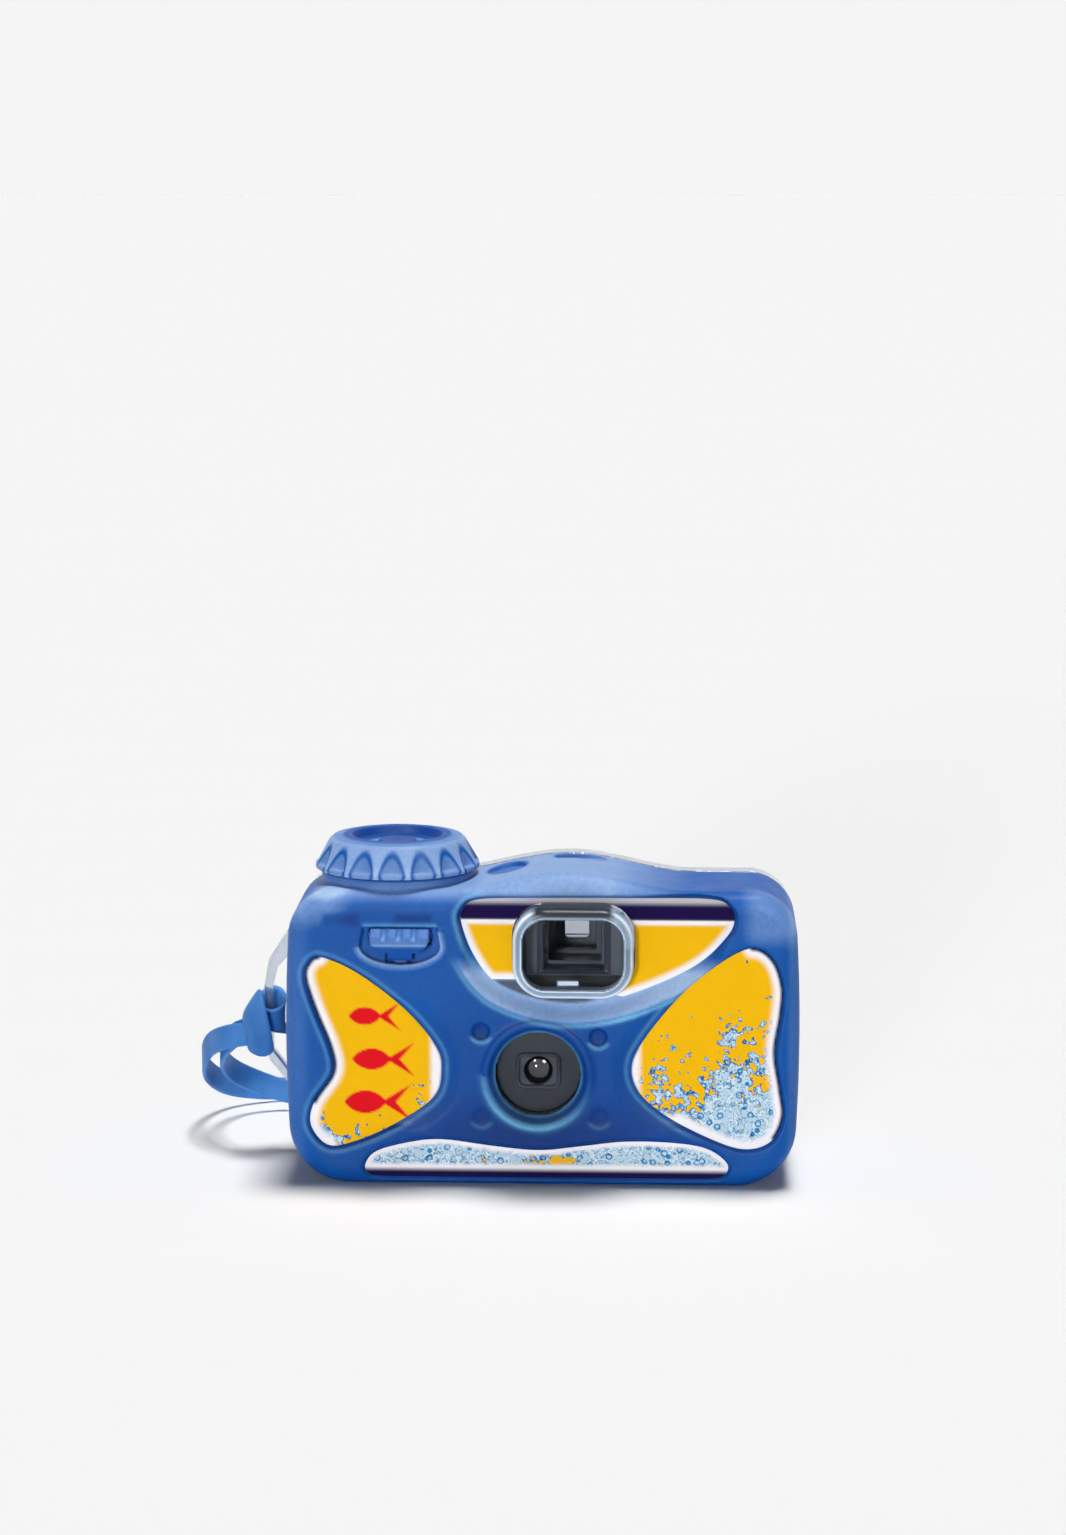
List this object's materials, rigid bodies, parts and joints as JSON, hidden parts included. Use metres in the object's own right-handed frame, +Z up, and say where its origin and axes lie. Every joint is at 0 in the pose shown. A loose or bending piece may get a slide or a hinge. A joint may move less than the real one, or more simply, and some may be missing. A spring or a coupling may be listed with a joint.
{
  "type": "disposable film camera",
  "caption": "Waterproof single-use film camera: translucent housing with a fluted winding knob, front trigger, clear viewfinder window, lens porthole, side strap loop and rubber wrist strap.",
  "frame": {"origin": "centre of the flat underside the camera stands on, midway between front and back", "axes": "+X along the width towards the viewer's right, +Y from the lens side to the back, +Z up"},
  "size_m": [0.1513, 0.0917, 0.083],
  "materials": {
    "blue_shell": "translucent blue polypropylene, satin",
    "clear_shell": "clear polystyrene, glossy",
    "clear_window": "clear acrylic, polished",
    "white_plastic": "moulded acetal",
    "black_plastic": "moulded, fine texture",
    "seal_rubber": "moulded seal rubber",
    "strap_rubber": "smooth blue elastomer band",
    "steel": "spring steel and wire",
    "yellow_label": "printed film label",
    "pale_label": "printed film label",
    "cartridge_metal": "printed tin plate",
    "film": "photographic film"
  },
  "bodies": {
    "housing": {"front_shell": "blue_shell", "back_shell": "clear_shell", "shell_gasket": "seal_rubber", "lens_window": "clear_window", "lens_window_seal": "seal_rubber", "viewfinder_window": "clear_window", "trigger_pin": "blue_shell", "plunger_spring": "steel", "label_left": "yellow_label", "label_right": "yellow_label", "label_top": "yellow_label", "label_bottom": "pale_label", "label_back": "yellow_label", "wrist_strap": "strap_rubber", "strap_knot": "strap_rubber", "camera_chassis": "black_plastic", "camera_front_cover": "black_plastic", "camera_back_cover": "black_plastic", "camera_top_cover": "black_plastic", "taking_lens": "clear_window", "lens_retainer": "black_plastic", "shutter_spring": "steel", "striker_spring": "steel", "film_cartridge": "cartridge_metal", "film_strip": "film", "viewfinder_tunnel": "black_plastic", "viewfinder_front_lens": "clear_window", "viewfinder_rear_lens": "clear_window"},
    "knob": {"winding_knob": "blue_shell", "knob_shaft": "white_plastic", "knob_o_ring": "seal_rubber", "knob_retaining_clip": "steel", "wind_wheel": "black_plastic", "cartridge_spool": "black_plastic"},
    "sprocket_wheel": {"sprocket": "white_plastic"},
    "supply": {"supply_spool": "black_plastic", "film_roll": "film"},
    "counter": {"counter_dial": "white_plastic"},
    "trigger": {"trigger_lever": "blue_shell"},
    "plunger": {"release_plunger": "white_plastic", "plunger_o_ring": "seal_rubber"},
    "release": {"release_lever": "white_plastic"},
    "striker": {"striker_lever": "steel"},
    "shutter": {"shutter_blade": "steel"}
  },
  "joints": [
    {"name": "knob_turn", "type": "hinge", "parent": "housing", "child": "knob", "pos_m": [-0.036, 0, 0.079], "axis": [0, 0, 1], "continuous": true},
    {"name": "sprocket_turn", "type": "hinge", "parent": "housing", "child": "sprocket_wheel", "pos_m": [-0.017, 0.0054, 0.044], "axis": [0, 0, 1], "continuous": true},
    {"name": "supply_turn", "type": "hinge", "parent": "housing", "child": "supply", "pos_m": [0.034, 0.0015, 0.028], "axis": [0, 0, 1], "continuous": true},
    {"name": "counter_turn", "type": "hinge", "parent": "housing", "child": "counter", "pos_m": [-0.012, -0.0025, 0.0596], "axis": [0, 0, 1], "continuous": true},
    {"name": "trigger_pull", "type": "hinge", "parent": "housing", "child": "trigger", "pos_m": [-0.034, -0.0192, 0.0618], "axis": [1, 0, 0], "range_deg": [0, 12], "stiffness_Nm_per_rad": 0.05},
    {"name": "plunger_push", "type": "slide", "parent": "housing", "child": "plunger", "axis": [0, 1, 0], "range_m": [0, 0.00106], "deforming": ["plunger_spring"]},
    {"name": "release_swing", "type": "hinge", "parent": "housing", "child": "release", "pos_m": [-0.022, -0.0095, 0.057], "axis": [0, 0, -1], "range_deg": [0, 4.9]},
    {"name": "striker_swing", "type": "hinge", "parent": "housing", "child": "striker", "pos_m": [-0.0195, -0.0035, 0.057], "axis": [0, 0, 1], "range_deg": [0, 40], "stiffness_Nm_per_rad": 0.01},
    {"name": "shutter_swing", "type": "hinge", "parent": "housing", "child": "shutter", "pos_m": [-0.012, -0.01175, 0.038], "axis": [0, 1, 0], "range_deg": [0, 22], "stiffness_Nm_per_rad": 0.002}
  ],
  "couplings": [
    {"joint": "sprocket_turn", "follows": "knob_turn", "ratio": 1.157},
    {"joint": "supply_turn", "follows": "knob_turn", "ratio": 0.875},
    {"joint": "counter_turn", "follows": "knob_turn", "ratio": -0.036},
    {"joint": "plunger_push", "follows": "trigger_pull", "m_per_rad": 0.005},
    {"joint": "release_swing", "follows": "trigger_pull", "ratio": 0.4}
  ]
}
